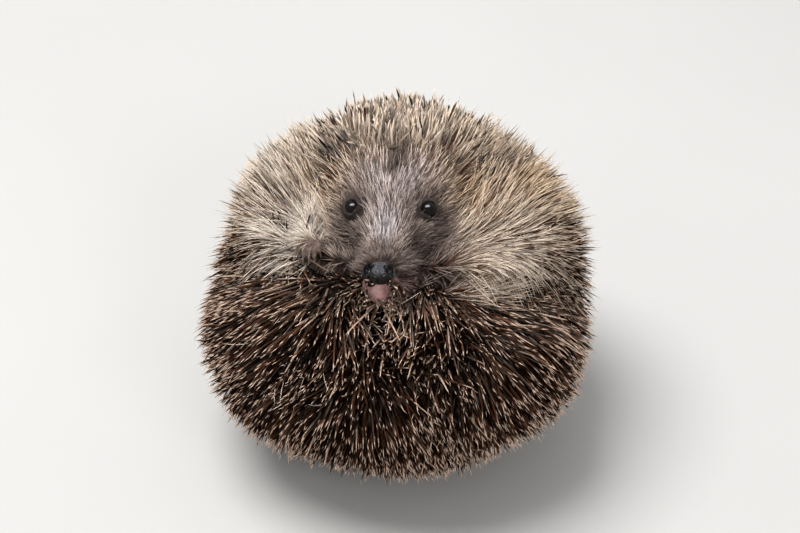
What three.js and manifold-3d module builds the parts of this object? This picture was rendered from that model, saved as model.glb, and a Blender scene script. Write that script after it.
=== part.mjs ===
// An adult European hedgehog (Erinaceus europaeus), life size, lying curled up on its back with its face
// looking out of the curl. The solids reach out to the tips of the spines and fur.
//
// Millimetres, +Z up, -Y the way the hedgehog faces, +X its left.
// The origin is on the floor, below the centre.
// Shapes are made in the curl's own frame, from its centre: X across, Y to the crown, Z out of the opening.
import * as THREE from "three";
import { mergeVertices } from "three/addons/utils/BufferGeometryUtils.js";
import Module from "manifold-3d";

const wasm = await Module();
wasm.setup();

const rad = THREE.MathUtils.degToRad;
const { smoothstep, lerp, clamp } = THREE.MathUtils;

// ---- Driving dimensions -------------------------------------------------------------------------
const GAP = 0.35; // between neighbouring pieces

const CURL = {
  tilt: rad(42), // how far the opening faces up from level
  height: 62, // centre above the floor; the spines under it are pressed flat
  halfWidth: 75, // to the spine tips, across
  halfDepth: 73.5, // to the spine tips, every other way
  rollSlope: -0.09, // the crease drops this much for each mm to the hedgehog's left
  hub: new THREE.Vector3(0, 4, 2), // the cuts between the trunk's pieces meet on the line across through here
};
// Where the rump's edge meets the flanks: the angle is from +Z up.
const CREASE = { angle: rad(4.4), depth: 12, halfWidth: 11 };
const FACE = {
  axis: new THREE.Vector3(-3, 30, 46).normalize(), // from the curl's centre out through the forehead
  dip: 20, // how far the outline sinks in around the face, where the spines give way to fur
  near: rad(16), // sunk fully inside this cone around the face
  far: rad(50), // and not at all outside this one
  narrowing: 0.8, // the cones are wider than high
};
// Where the coat lies lower: round each ear, over the crown, where the mouth hangs over the rump's edge, and
// behind the right flank. It swells out, by a depth below 0, over the rump's two sides.
const DENTS = [
  { place: [31.5, 46, 24], depth: 5, radius: 12 },
  { place: [-24.8, 52.2, 21], depth: 5, radius: 12 },
  { place: [0, 60, 0], depth: 3, radius: 60 },
  { place: [-6, -3, 60], depth: 9, radius: 12 },
  { place: [-68, 25, 2], depth: 4.5, radius: 20 },
  { place: [-61, -40, 12], depth: -7, radius: 28 },
  { place: [61, -40, 12], depth: -4.5, radius: 28 },
];
// Spine tips standing in and out, and how many times each way.
const BUNCHES = { height: 1.2, across: 10, round: 9 };
const CUTS = { crown: rad(64), nape: rad(102), shoulders: rad(162), loin: rad(252) };

// The head, along its axis from the tip of the muzzle to the back of the skull.
const HEAD_AXIS = [
  [-5.9, 7.2, 63.5],
  [-2.2, 21.5, 43],
  [-0.2, 33.5, 24],
  [0.8, 39.5, 8],
];
const HEAD_UPRIGHT = new THREE.Vector3(-0.05, 0.84, 0.54); // nearly the crown's direction, slightly rolled
const HEAD = {
  length: 58,
  squareness: 2.5, // of the cross-section: 2 is an ellipse
  // distance back from the muzzle's tip: half width, height above the axis, depth below it
  stations: [
    [0, 4.6, 4.4, 3.4],
    [4, 7.0, 5.8, 4.6],
    [10, 9.6, 7.8, 6.2],
    [18, 13.0, 10.4, 8.6],
    [27, 17.2, 14.0, 11.2],
    [38, 22.0, 17.6, 14.0],
    [50, 26.0, 20.8, 17.0],
    [70, 29.0, 23.0, 19.0],
  ],
};
const EYE = { radius: 3.3, back: 25.2, aside: 13.4, above: 7.1, socketGap: 0.4 };
const NOSE = { halfWidth: 5.6, halfHeight: 4.4, halfDepth: 4.4, centre: [-6.1, 5.9, 65.2], nostrilDent: 0.9 };
const JAW = {
  path: [[-3.6, 4.4, 40], [-5.2, -1.4, 51], [-5.6, -2.8, 58.5]],
  halfWidth: 4.8,
  halfHeight: 3.2,
};
const EAR = { halfWidth: 7.4, halfHeight: 8.2, halfThickness: 1.2, cup: 0.03 };
const EARS = {
  left: { place: [31.5, 46, 24], facing: [0.6, 0.42, 0.68] },
  right: { place: [-24.8, 52.2, 21], facing: [-0.52, 0.5, 0.68] },
};

// Inside the curl: the cavity that the belly and the folded legs fill.
const CAVITY = { centre: [0, 3, 22], halfWidth: 44, halfHeight: 19, halfDepth: 31, bellyFace: 7 };
const hindleg = (side) => ({
  path: [[27 * side, -8, 9], [36 * side, -5, 24], [26 * side, -4, 36], [16 * side, -2, 43]],
  top: 8,
  end: 3.6,
  toesPoint: [-0.75 * side, 0.2, 0.6],
});
const LEGS = {
  // The left forefoot is tucked in; the right one rests on the rump's edge, in the crease.
  foreleg_left: {
    path: [[20, 15, 10], [33, 17, 24], [32, 18, 35], [29, 15, 41]],
    top: 7,
    end: 3.2,
    toesPoint: [-0.5, -0.8, 0.3],
  },
  foreleg_right: {
    path: [[-20, 15, 10], [-33, 17, 26], [-33, 18.5, 38], [-31, 15.4, 46.8]],
    top: 7,
    end: 3.2,
    toesPoint: [0, -0.93, 0.37],
  },
  hindleg_left: hindleg(1),
  hindleg_right: hindleg(-1),
};
const TAIL = { path: [[3, -10, 26], [3, -8, 36], [2.5, -6, 45]], root: 3.2, tip: 1.4 };
const TOES = { count: 5, length: 6.4, radius: 1.3, claw: 0.5, spacing: 1.3, fan: 0.14 };

const COLOURS = {
  spines: { color: 0x4a3a30, roughness: 0.55, metalness: 0 },
  ruff: { color: 0xb7a48f, roughness: 0.8, metalness: 0 },
  face: { color: 0x8a7c76, roughness: 0.85, metalness: 0 },
  belly: { color: 0x9c8b7c, roughness: 0.9, metalness: 0 },
  foot: { color: 0x8d7d78, roughness: 0.6, metalness: 0 },
  ear: { color: 0x5d5654, roughness: 0.8, metalness: 0 },
  lip: { color: 0xa3787a, roughness: 0.5, metalness: 0 },
  nose: { color: 0x151314, roughness: 0.25, metalness: 0 },
  eye: { color: 0x060506, roughness: 0.05, metalness: 0 },
};

// ---- Tools --------------------------------------------------------------------------------------
const at = (p) => new THREE.Vector3(...p);

// The value at `place` on a smooth line through [place, value...] rows.
function along(rows, place, column) {
  const last = rows.length - 1;
  const i = clamp(rows.findIndex((row) => row[0] > place) - 1, 0, last - 1);
  const k = place >= rows[last][0] ? last - 1 : i;
  const slope = (j) => {
    const [a, b] = [rows[Math.max(j - 1, 0)], rows[Math.min(j + 1, last)]];
    return (b[column] - a[column]) / (b[0] - a[0]);
  };
  const [a, b] = [rows[k], rows[k + 1]];
  const span = b[0] - a[0];
  const t = clamp((place - a[0]) / span, 0, 1);
  const ends = a[column] * (1 + 2 * t) * (1 - t) ** 2 + b[column] * t * t * (3 - 2 * t);
  return ends + span * (slope(k) * t * (1 - t) ** 2 - slope(k + 1) * t * t * (1 - t));
}

// A sphere's grid, each point moved to where `place` puts it. The grid's poles lie on Y.
function moved(sides, rings, place) {
  const sphere = new THREE.SphereGeometry(1, sides, rings);
  sphere.deleteAttribute("normal");
  sphere.deleteAttribute("uv");
  const grid = mergeVertices(sphere, 1e-4);
  const points = grid.attributes.position;
  for (let i = 0; i < points.count; i++) {
    const point = place(new THREE.Vector3().fromBufferAttribute(points, i));
    points.setXYZ(i, point.x, point.y, point.z);
  }
  return grid;
}

function solid(geometry) {
  const merged = mergeVertices(geometry, 1e-4);
  const made = new wasm.Manifold(
    new wasm.Mesh({
      numProp: 3,
      vertProperties: new Float32Array(merged.attributes.position.array),
      triVerts: new Uint32Array(merged.index.array),
    }),
  );
  if (made.volume() > 0) return made;
  const flipped = merged.clone();
  for (let i = 0; i < flipped.index.count; i += 3) {
    const [b, c] = [flipped.index.getX(i + 1), flipped.index.getX(i + 2)];
    flipped.index.setX(i + 1, c);
    flipped.index.setX(i + 2, b);
  }
  return solid(flipped);
}

// A rounded bar along a path. `section(t)` gives its half width, height above and depth below the path.
function bar(path, section, { sides = 14, rings = 14, squareness = 2, blunt = 6, grow = 0 } = {}) {
  const curve = new THREE.CatmullRomCurve3(path.map(at));
  const power = 2 / squareness;
  return moved(sides, rings, (v) => {
    const t = Math.acos(clamp(v.y, -1, 1)) / Math.PI;
    const { across, up } = frameOn(curve, t);
    const round = Math.sqrt(Math.max(0, 1 - Math.abs(2 * t - 1) ** blunt));
    const angle = Math.atan2(v.z, v.x);
    const bow = (value) => Math.sign(value) * Math.abs(value) ** power;
    const [halfWidth, above, below] = section(t).map((size) => (size + grow) * round);
    return curve
      .getPointAt(t)
      .addScaledVector(across, halfWidth * bow(Math.cos(angle)))
      .addScaledVector(up, (Math.sin(angle) > 0 ? above : below) * bow(Math.sin(angle)))
      .addScaledVector(curve.getTangentAt(t), grow * (2 * t - 1));
  });
}

// Across (to the hedgehog's left) and up, square to a path that runs back from the opening.
function frameOn(curve, t) {
  const tangent = curve.getTangentAt(t);
  const across = new THREE.Vector3().crossVectors(tangent, HEAD_UPRIGHT).normalize();
  return { across, up: new THREE.Vector3().crossVectors(across, tangent) };
}

const headCurve = new THREE.CatmullRomCurve3(HEAD_AXIS.map(at));

// A point placed by the head: distance back from the muzzle's tip, aside to the left, and above the axis.
function headPoint(back, aside, above) {
  const t = back / headCurve.getLength();
  const { across, up } = frameOn(headCurve, t);
  return headCurve.getPointAt(t).addScaledVector(across, aside).addScaledVector(up, above);
}

// All that lies between two angles about the line across through the hub, less half a gap on each side.
function wedge(from, to, reach = 120) {
  const turn = to - from;
  const inset = GAP / 2 / Math.sin(turn / 2);
  const outline = new THREE.Shape([
    new THREE.Vector2(inset, 0),
    ...[-1, 0, 1].map((k) => {
      const angle = (k * turn) / 2;
      const edge = reach / Math.cos(turn / 4);
      return new THREE.Vector2(inset + edge * Math.cos(angle), edge * Math.sin(angle));
    }),
  ]);
  const prism = new THREE.ExtrudeGeometry(outline, { depth: 2 * reach, bevelEnabled: false });
  prism.deleteAttribute("normal");
  prism.deleteAttribute("uv");
  // The outline's X becomes +Z and its Y the crown's side, and then it turns to its middle angle.
  prism.translate(0, 0, -reach).rotateY(-Math.PI / 2).rotateX(-(from + to) / 2);
  prism.applyMatrix4(new THREE.Matrix4().makeRotationZ(Math.atan(CURL.rollSlope)));
  prism.translate(CURL.hub.x, CURL.hub.y, CURL.hub.z);
  return solid(mergeVertices(prism, 1e-4));
}

const box = (size, centre) => {
  const made = new THREE.BoxGeometry(...size);
  made.deleteAttribute("normal");
  made.deleteAttribute("uv");
  return solid(made.translate(...centre));
};

const less = (piece, ...tools) => tools.reduce((left, tool) => left.subtract(tool), piece);

// The largest body, because a cut can leave slivers.
const mainBody = (made) => made.decompose().reduce((a, b) => (a.volume() >= b.volume() ? a : b));

// ---- The curl's outline -------------------------------------------------------------------------
// From 0 on the fur round the face to 1 where the spines stand at full height.
function spininess(direction) {
  const squeezed = new THREE.Vector3(direction.x * FACE.narrowing, direction.y, direction.z);
  return smoothstep(squeezed.angleTo(FACE.axis), FACE.near, FACE.far);
}

// How far a direction is above the crease, as an angle.
const aboveCrease = ({ x, y, z }) => Math.atan2(y - CURL.rollSlope * x, Math.hypot(z, x)) - CREASE.angle;

// The groove where the rump's edge meets the flanks, fading out round the sides.
function creaseDent(direction) {
  const front = smoothstep(direction.z, -0.15, 0.45);
  const off = (aboveCrease(direction) * CURL.halfDepth) / CREASE.halfWidth;
  return CREASE.depth * front * Math.exp(-off * off);
}

function dentAt(direction, { place, depth, radius }) {
  const off = (direction.angleTo(at(place)) * at(place).length()) / radius;
  return depth * Math.exp(-off * off);
}

function curlRadius(direction) {
  const { halfWidth, halfDepth } = CURL;
  const flat = Math.hypot(direction.y, direction.z) / halfDepth;
  const outer = 1 / Math.hypot(direction.x / halfWidth, flat);
  const sunk = FACE.dip * (1 - spininess(direction)) * smoothstep(aboveCrease(direction), -0.1, 0.2);
  const dents = DENTS.reduce((sum, dent) => sum + dentAt(direction, dent), 0);
  return outer - Math.max(sunk, creaseDent(direction)) - dents;
}

function curlSolid() {
  return solid(
    moved(40, 22, (v) => {
      // The grid's poles are on the curl's two sides, and its lines lie closest together along the crease.
      const out = Math.hypot(v.x, v.z);
      const even = Math.atan2(-v.x, v.z);
      const round = even - 0.5 * Math.sin(even - CREASE.angle);
      const direction = new THREE.Vector3(v.y, out * Math.sin(round), out * Math.cos(round));
      const bunch = Math.cos(BUNCHES.across * Math.asin(clamp(v.y, -1, 1))) * Math.cos(BUNCHES.round * round);
      const relief = BUNCHES.height * spininess(direction) * out;
      return direction.multiplyScalar(curlRadius(direction) + bunch * relief);
    }),
  );
}

// ---- The pieces ---------------------------------------------------------------------------------
function headSolid(grow = 0) {
  const sizes = (t) => [1, 2, 3].map((column) => along(HEAD.stations, t * headCurve.getLength(), column));
  return solid(
    bar(HEAD_AXIS, sizes, { sides: 20, rings: 14, squareness: HEAD.squareness, blunt: 14, grow }),
  );
}

function eyeSolid(side, grow = 0) {
  const centre = headPoint(EYE.back, EYE.aside * side, EYE.above);
  return solid(moved(12, 8, (v) => v.multiplyScalar(EYE.radius + grow).add(centre)));
}

// A wet pad, a little flattened on top, with a nostril dent on each side.
function noseSolid(grow = 0) {
  const { across, up } = frameOn(headCurve, 0);
  const forward = headCurve.getTangentAt(0).negate();
  return solid(
    moved(14, 8, (v) => {
      const [aside, ahead] = [(Math.abs(v.x) - 0.75) / 0.2, (v.z - 0.6) / 0.35];
      const dent = NOSE.nostrilDent * Math.exp(-aside * aside - ahead * ahead);
      const height = v.y > 0 ? 0.85 : 1;
      return at(NOSE.centre)
        .addScaledVector(across, (NOSE.halfWidth + grow) * v.x)
        .addScaledVector(up, (NOSE.halfHeight + grow) * height * v.y)
        .addScaledVector(forward, (NOSE.halfDepth + grow - dent) * v.z);
    }),
  );
}

function jawSolid(grow = 0) {
  const sizes = (t) => [
    lerp(JAW.halfWidth + 3, JAW.halfWidth, t),
    JAW.halfHeight,
    lerp(JAW.halfHeight + 1.5, JAW.halfHeight, t),
  ];
  return solid(bar(JAW.path, sizes, { sides: 10, rings: 8, blunt: 4, grow }));
}

// A round leaf, cupped towards the front and leaning back against the crown's spines.
function earSolid({ place, facing }, grow = 0) {
  const upright = new THREE.Vector3(-0.35 * Math.sign(place[0]), 1, 0);
  const turn = new THREE.Matrix4().lookAt(at(facing), new THREE.Vector3(), upright);
  return solid(
    moved(12, 6, (v) => {
      const [x, y] = [v.x * EAR.halfWidth, v.z * EAR.halfHeight];
      const cupped = EAR.cup * (x * x + y * y);
      const z = v.y * (EAR.halfThickness + grow);
      const wider = 1 + grow / EAR.halfWidth;
      return new THREE.Vector3(x * wider, y * wider, z + cupped).applyMatrix4(turn).add(at(place));
    }),
  );
}

// A folded leg with its foot: the limb, and toes that fan from its end and taper into claws.
function legSolid({ path, top, end, toesPoint }, grow = 0) {
  const thickness = (t) => Array(3).fill(lerp(top, end, smoothstep(t, 0, 0.75)));
  const limb = solid(bar(path, thickness, { sides: 8, rings: 8, grow }));
  const ankle = at(path.at(-1));
  const onward = at(toesPoint).normalize();
  const across = new THREE.Vector3(1, 0, 0).addScaledVector(onward, -onward.x).normalize();
  const toes = Array.from({ length: TOES.count }, (_, i) => {
    const place = i - (TOES.count - 1) / 2;
    const root = ankle.clone().addScaledVector(across, place * TOES.spacing).addScaledVector(onward, -1.5);
    const way = onward.clone().addScaledVector(across, place * TOES.fan).normalize();
    const tip = root.clone().addScaledVector(way, TOES.length);
    const middle = root.clone().lerp(tip, 0.5).addScaledVector(FACE.axis, 0.6);
    const thick = (t) => Array(3).fill(lerp(TOES.radius, TOES.claw, smoothstep(t, 0.6, 1)));
    const toe = [root, middle, tip].map((p) => p.toArray());
    return solid(bar(toe, thick, { sides: 5, rings: 4, grow }));
  });
  return toes.reduce((foot, toe) => foot.add(toe), limb);
}

function tailSolid(grow = 0) {
  const thick = (t) => Array(3).fill(lerp(TAIL.root, TAIL.tip, t));
  return solid(bar(TAIL.path, thick, { sides: 8, rings: 5, grow }));
}

function cavitySolid(grow = 0) {
  const { centre, halfWidth, halfHeight, halfDepth } = CAVITY;
  const size = new THREE.Vector3(halfWidth, halfHeight, halfDepth).addScalar(grow);
  return solid(moved(14, 8, (v) => v.multiply(size).add(at(centre))));
}

// ---- Assembly -----------------------------------------------------------------------------------
const SIDES = { left: 1, right: -1 };
const curl = curlSolid();
const cavity = cavitySolid();

const legs = Object.entries(LEGS);
const headCut = headSolid(GAP);
const jawCut = jawSolid(GAP);
const noseCut = noseSolid(GAP);
const tailCut = tailSolid(GAP);
const earCuts = Object.values(EARS).map((ear) => earSolid(ear, GAP));
const legCuts = legs.map(([, leg]) => legSolid(leg, GAP));
const faceCuts = [headCut, jawCut, noseCut, ...earCuts];

// A wedge of the curl, less the hollow and all that lies in it.
const trunkPiece = (from, to) =>
  less(curl.intersect(wedge(from, to)), cavity, ...faceCuts, ...legCuts, tailCut);

const half = (side) => box([200, 400, 400], [side * (100 + GAP / 2), 0, 0]);
const flanks = trunkPiece(CREASE.angle, CUTS.crown);
const eyeCuts = Object.values(SIDES).map((side) => eyeSolid(side, EYE.socketGap));
const inFrontOfNape = wedge(CREASE.angle - rad(60), CUTS.crown);
const bellySide = box([200, 200, 200], [0, 0, CAVITY.bellyFace - 100]);

const pieces = {
  head: [less(headSolid().intersect(inFrontOfNape), noseCut, jawCut, ...earCuts, ...eyeCuts), "face"],
  nose: [noseSolid(), "nose"],
  lower_jaw: [less(jawSolid(), noseCut), "lip"],
  neck: [trunkPiece(CUTS.crown, CUTS.nape), "ruff"],
  upper_back: [trunkPiece(CUTS.nape, CUTS.shoulders), "spines"],
  lower_back: [trunkPiece(CUTS.shoulders, CUTS.loin), "spines"],
  rump: [trunkPiece(CUTS.loin, CREASE.angle + rad(360)), "spines"],
  belly: [less(cavitySolid(-GAP).intersect(bellySide), headCut, ...legCuts, tailCut), "belly"],
  tail: [tailSolid(), "foot"],
};
for (const [name, side] of Object.entries(SIDES)) {
  pieces[`shoulder_${name}`] = [flanks.intersect(half(side)), "ruff"];
  pieces[`eye_${name}`] = [eyeSolid(side), "eye"];
  pieces[`ear_${name}`] = [earSolid(EARS[name]), "ear"];
}
legs.forEach(([name, leg], i) => {
  pieces[name] = [less(legSolid(leg), ...legCuts.slice(0, i), tailCut, headCut, jawCut), "foot"];
});

const materials = Object.fromEntries(
  Object.entries(COLOURS).map(([name, finish]) => [name, new THREE.MeshStandardMaterial(finish)]),
);

function meshOf(name, made, material) {
  const { numProp, vertProperties, triVerts } = made.getMesh();
  const positions = new Float32Array((vertProperties.length / numProp) * 3);
  for (let i = 0; i * numProp < vertProperties.length; i++)
    positions.set(vertProperties.subarray(i * numProp, i * numProp + 3), i * 3);
  const geometry = new THREE.BufferGeometry()
    .setAttribute("position", new THREE.BufferAttribute(positions, 3))
    .setIndex(new THREE.BufferAttribute(triVerts, 1));
  const mesh = new THREE.Mesh(geometry, materials[material]);
  mesh.name = name;
  return mesh;
}

// The curl's frame stands on the floor: its opening, +Z, leans up by the tilt.
const curlFrame = new THREE.Group();
curlFrame.rotation.x = Math.PI / 2 - CURL.tilt;
curlFrame.position.z = CURL.height;
curlFrame.updateMatrixWorld();

const floor = solid(
  (() => {
    const under = new THREE.BoxGeometry(400, 400, 200);
    under.deleteAttribute("normal");
    under.deleteAttribute("uv");
    return under.translate(0, 0, -100).applyMatrix4(curlFrame.matrixWorld.clone().invert());
  })(),
);
for (const [name, [made, material]] of Object.entries(pieces))
  curlFrame.add(meshOf(name, mainBody(made.subtract(floor)), material));

const hedgehog = new THREE.Group();
hedgehog.add(curlFrame);

export default hedgehog;
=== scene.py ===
"""A European hedgehog curled on its back: one skin, eyes, nose, claws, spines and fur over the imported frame.

Shapes are worked out in the curl's own frame, in millimetres: X to the hedgehog's left, Y up its face towards the
crown, Z out of the curl's opening, with the origin at the curl's centre. to_row takes them to the row's frame.
"""

import math

import bmesh
import bpy
import numpy as np
import openvdb
from mathutils import Matrix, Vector
from mathutils.kdtree import KDTree


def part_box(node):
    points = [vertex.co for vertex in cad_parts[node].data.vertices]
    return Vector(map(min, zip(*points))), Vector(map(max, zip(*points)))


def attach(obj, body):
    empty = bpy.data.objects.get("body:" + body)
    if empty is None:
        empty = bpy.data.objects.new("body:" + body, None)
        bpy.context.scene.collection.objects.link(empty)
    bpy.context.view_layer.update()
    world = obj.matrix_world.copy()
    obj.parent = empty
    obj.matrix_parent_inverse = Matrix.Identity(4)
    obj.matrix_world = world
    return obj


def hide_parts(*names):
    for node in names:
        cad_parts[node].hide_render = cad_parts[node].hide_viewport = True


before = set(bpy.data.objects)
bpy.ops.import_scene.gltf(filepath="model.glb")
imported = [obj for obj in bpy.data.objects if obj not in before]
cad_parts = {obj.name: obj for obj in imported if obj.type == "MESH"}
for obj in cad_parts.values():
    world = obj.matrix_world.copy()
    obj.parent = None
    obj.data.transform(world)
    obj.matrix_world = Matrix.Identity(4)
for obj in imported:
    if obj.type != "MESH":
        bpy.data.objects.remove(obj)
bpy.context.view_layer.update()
rng = np.random.default_rng(7)

# ---- Named dimensions, mm and degrees, as in the CAD -----------------------------------------------------------------
TILT = math.radians(42)
CENTRE_HEIGHT = 62.0
HALF_WIDTH, HALF_DEPTH = 75.0, 73.5
ROLL_SLOPE = -0.09
CREASE_ANGLE = math.radians(4.4)
CREASE_DEPTH, CREASE_HALF_WIDTH = 12.0, 11.0
FACE_DIP, FACE_NEAR, FACE_FAR, FACE_NARROWING = 20.0, math.radians(16), math.radians(50), 0.8
HEAD_AXIS = np.array([[-5.9, 7.2, 63.5], [-2.2, 21.5, 43], [-0.2, 33.5, 24], [0.8, 39.5, 8]])
HEAD_UPRIGHT = [-0.05, 0.84, 0.54]
# Skin of the head: distance back from the muzzle's tip, half width, height above the axis, depth below it.
HEAD = np.array([
    [-3.0, 1.0, 1.0, 1.0],
    [-1.5, 3.6, 3.6, 2.6],
    [0, 4.6, 4.4, 3.2],
    [4, 6.4, 5.2, 4.2],
    [10, 8.6, 6.6, 5.4],
    [18, 11.8, 9.2, 7.8],
    [27, 15.6, 12.6, 10.4],
    [38, 20.0, 15.6, 13.4],
    [50, 24.0, 19.0, 16.4],
    [70, 26.0, 21.0, 18.0],
])
SPINE_COAT = 14.0  # from the skin out to the spine tips
SKIN_FLOOR = 3.6  # the skin's lowest point, on the spines pressed flat under it
EYE_RADIUS = 3.3
# half width and half height between the lids, and how far the gap lies inward and upward of the ball's centre
LID_GAP = {"left": (2.65, 2.72, 0.0, 0.0), "right": (1.95, 2.45, 0.3, 0.25)}


def unit(v):
    v = np.asarray(v, float)
    return v / np.maximum(np.linalg.norm(v, axis=-1, keepdims=True), 1e-9)


def dot(a, b):
    return np.sum(a * b, axis=-1)


def smoothstep(x, low, high):
    t = np.clip((x - low) / (high - low), 0, 1)
    return t * t * (3 - 2 * t)


def mix(a, b, t):
    return a + (b - a) * t


TO_ROW = np.array([
    [1, 0, 0],
    [0, math.sin(TILT), -math.cos(TILT)],
    [0, math.cos(TILT), math.sin(TILT)],
])


def to_row(points):
    return (points @ TO_ROW.T + [0, 0, CENTRE_HEIGHT]) / 1000


def from_row(points):
    return (np.asarray(points, float) * 1000 - [0, 0, CENTRE_HEIGHT]) @ TO_ROW


def node_centre(node):
    low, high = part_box(node)
    return from_row((np.array(low) + np.array(high)) / 2)


FACE_AXIS = unit([-3, 30, 46])
FLOOR_WAY = np.array([0, -math.cos(TILT), -math.sin(TILT)])
EYES = {"left": node_centre("eye_left") - [0.4, 0, 0], "right": node_centre("eye_right") + [0.1, 0, 0]}
NOSE = node_centre("nose")
EARS = {"left": node_centre("ear_left") * 0.93 + [3.0, -1.6, 0], "right": node_centre("ear_right") * 0.93 + [2.0, 3.0, -1]}
EAR_FACING = {"left": [0.6, 0.42, 0.68], "right": [-0.52, 0.5, 0.68]}
MOUTH = NOSE + [0.4, -4.9, -3.4]  # between the lips
COAT_PARTS = NOSE + [0.6, 0.5, 2.0]  # the coat above the crease lies away from here
RUMP_PARTS = np.array([-4.0, 45.0, 45.0])  # and the coat below it away from here


# ---- The skin's shape --------------------------------------------------------------------------------------------------
def spininess(direction):
    squeezed = unit(direction * [FACE_NARROWING, 1, 1])
    return smoothstep(np.arccos(np.clip(squeezed @ FACE_AXIS, -1, 1)), FACE_NEAR, FACE_FAR)


def above_crease(direction):
    x, y, z = direction.T
    return np.arctan2(y - ROLL_SLOPE * x, np.hypot(z, x)) - CREASE_ANGLE


def front(direction):
    return smoothstep(direction[:, 2], -0.15, 0.45)


def dent(direction, place, depth, radius):
    place = np.array(place, float)
    off = np.arccos(np.clip(direction @ unit(place), -1, 1)) * np.linalg.norm(place) / radius
    return depth * np.exp(-off * off)


def coat_radius(direction):
    """From the curl's centre to the coat's tips, as the CAD has it."""
    outer = 1 / np.hypot(direction[:, 0] / HALF_WIDTH, np.hypot(direction[:, 1], direction[:, 2]) / HALF_DEPTH)
    above = above_crease(direction)
    sunk = FACE_DIP * (1 - spininess(direction)) * smoothstep(above, -0.1, 0.2)
    crease = CREASE_DEPTH * front(direction) * np.exp(-((above * HALF_DEPTH / CREASE_HALF_WIDTH) ** 2))
    dents = dent(direction, [31.5, 46, 24], 5, 12) + dent(direction, [-24.8, 52.2, 21], 5, 12)
    dents = dents + dent(direction, [0, 60, 0], 3, 60) + dent(direction, [-6, -3, 60], 9, 12)
    dents = dents + dent(direction, [-68, 25, 2], 4.5, 20)
    dents = dents + dent(direction, [-61, -40, 12], -7, 28) + dent(direction, [61, -40, 12], -4.5, 28)
    return outer - np.maximum(sunk, crease) - dents


def skin_radius(direction):
    depth = mix(6.0, SPINE_COAT, spininess(direction))
    above = above_crease(direction)
    near_crease = front(direction) * np.exp(-((above * HALF_DEPTH / 14) ** 2))
    depth = mix(depth, 12.0, near_crease)
    slit = 8.0 * front(direction) * np.exp(-((above * 60 / 2.6) ** 2))
    return coat_radius(direction) - depth - slit


def smooth_min(a, b, k):
    h = np.clip(0.5 + 0.5 * (b - a) / k, 0, 1)
    return b * (1 - h) + a * h - k * h * (1 - h)


def smooth_max(a, b, k):
    return -smooth_min(-a, -b, k)


def capsule(p, a, b, ra, rb):
    a, b = np.asarray(a, float), np.asarray(b, float)
    t = np.clip(dot(p - a, b - a) / dot(b - a, b - a), 0, 1)
    return np.linalg.norm(p - a - t[:, None] * (b - a), axis=1) - mix(ra, rb, t)


def ellipsoid(p, radii):
    radii = np.asarray(radii, float)
    k0 = np.linalg.norm(p / radii, axis=1)
    k1 = np.linalg.norm(p / radii ** 2, axis=1)
    return k0 * (k0 - 1) / np.maximum(k1, 1e-6)


class HeadLine:
    """The head's axis, sampled from beyond the muzzle's tip to the back of the skull."""

    def __init__(self):
        chord = np.concatenate([[0], np.cumsum(np.linalg.norm(np.diff(HEAD_AXIS, axis=0), axis=1))])
        fit = [np.polyfit(chord, HEAD_AXIS[:, k], 3) for k in range(3)]
        s = np.linspace(0, chord[-1], 60)
        line = np.stack([np.polyval(f, s) for f in fit], 1)
        back = np.concatenate([[0], np.cumsum(np.linalg.norm(np.diff(line, axis=0), axis=1))])
        ahead = line[0] + (line[0] - line[1]) / (back[1] - back[0]) * np.array([[4.0], [2.0]])
        self.points = np.concatenate([ahead, line])
        self.back = np.concatenate([[-4.0, -2.0], back])
        self.tangent = unit(np.gradient(self.points, axis=0))
        self.across = unit(np.cross(self.tangent, HEAD_UPRIGHT))
        self.up = np.cross(self.across, self.tangent)

    def place(self, p):
        """Distance back, aside to the left, and above the axis of each point."""
        out = np.empty((len(p), 3))
        for start in range(0, len(p), 60000):
            q = p[start:start + 60000]
            gap = ((q[:, None, :] - self.points[None, ::3]) ** 2).sum(2)
            near = np.argmin(gap, axis=1) * 3
            for _ in range(2):
                step = dot(q - self.points[near], self.tangent[near])
                near = np.clip(np.round(np.interp(self.back[near] + step, self.back, np.arange(len(self.back)))),
                               0, len(self.back) - 1).astype(int)
            off = q - self.points[near]
            along = dot(off, self.tangent[near])
            out[start:start + 60000] = np.stack(
                [self.back[near] + along, dot(off, self.across[near]), dot(off, self.up[near])], 1)
        return out

    def point(self, back, aside, above):
        row = [np.interp(back, self.back, self.points[:, k]) for k in range(3)]
        i = int(np.argmin(np.abs(self.back - back)))
        return np.array(row) + aside * self.across[i] + above * self.up[i]


HEAD_LINE = HeadLine()
MUZZLE_UP = HEAD_LINE.up[2]
MUZZLE_ON = -HEAD_LINE.tangent[2]


def head_sdf(p):
    back, aside, above = HEAD_LINE.place(p).T
    half_width = np.interp(back, HEAD[:, 0], HEAD[:, 1])
    up = np.interp(back, HEAD[:, 0], HEAD[:, 2])
    down = np.interp(back, HEAD[:, 0], HEAD[:, 3])
    height = np.where(above > 0, up, down)
    power = 2.4
    ratio = (np.abs(aside / half_width) ** power + np.abs(above / height) ** power) ** (1 / power)
    size = np.hypot(aside, above) / np.maximum(ratio, 1e-6)
    size = np.where(ratio < 1e-3, np.minimum(half_width, height), size)
    body = (np.hypot(aside, above) - size) * 0.92
    return smooth_max(body, -(back + 3.2), 1.5)


def eye_frame(side):
    """Out of the eye, across it and up it."""
    sign = 1 if side == "left" else -1
    out = unit(np.array([0.33 * sign - 0.02, 0.28, 0.86]))
    up = unit(np.array([-0.12 * sign, 0.86, -0.35]) - out * dot(np.array([-0.12 * sign, 0.86, -0.35]), out))
    return out, np.cross(up, out), up


def ear_frame(side):
    out = unit(EAR_FACING[side])
    across = unit(np.cross([-0.35 * np.sign(out[0]), 1, 0], out))
    return out, across, np.cross(out, across)


def local(p, centre, axes):
    off = p - centre
    return np.stack([dot(off, axis) for axis in axes], 1)


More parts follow.
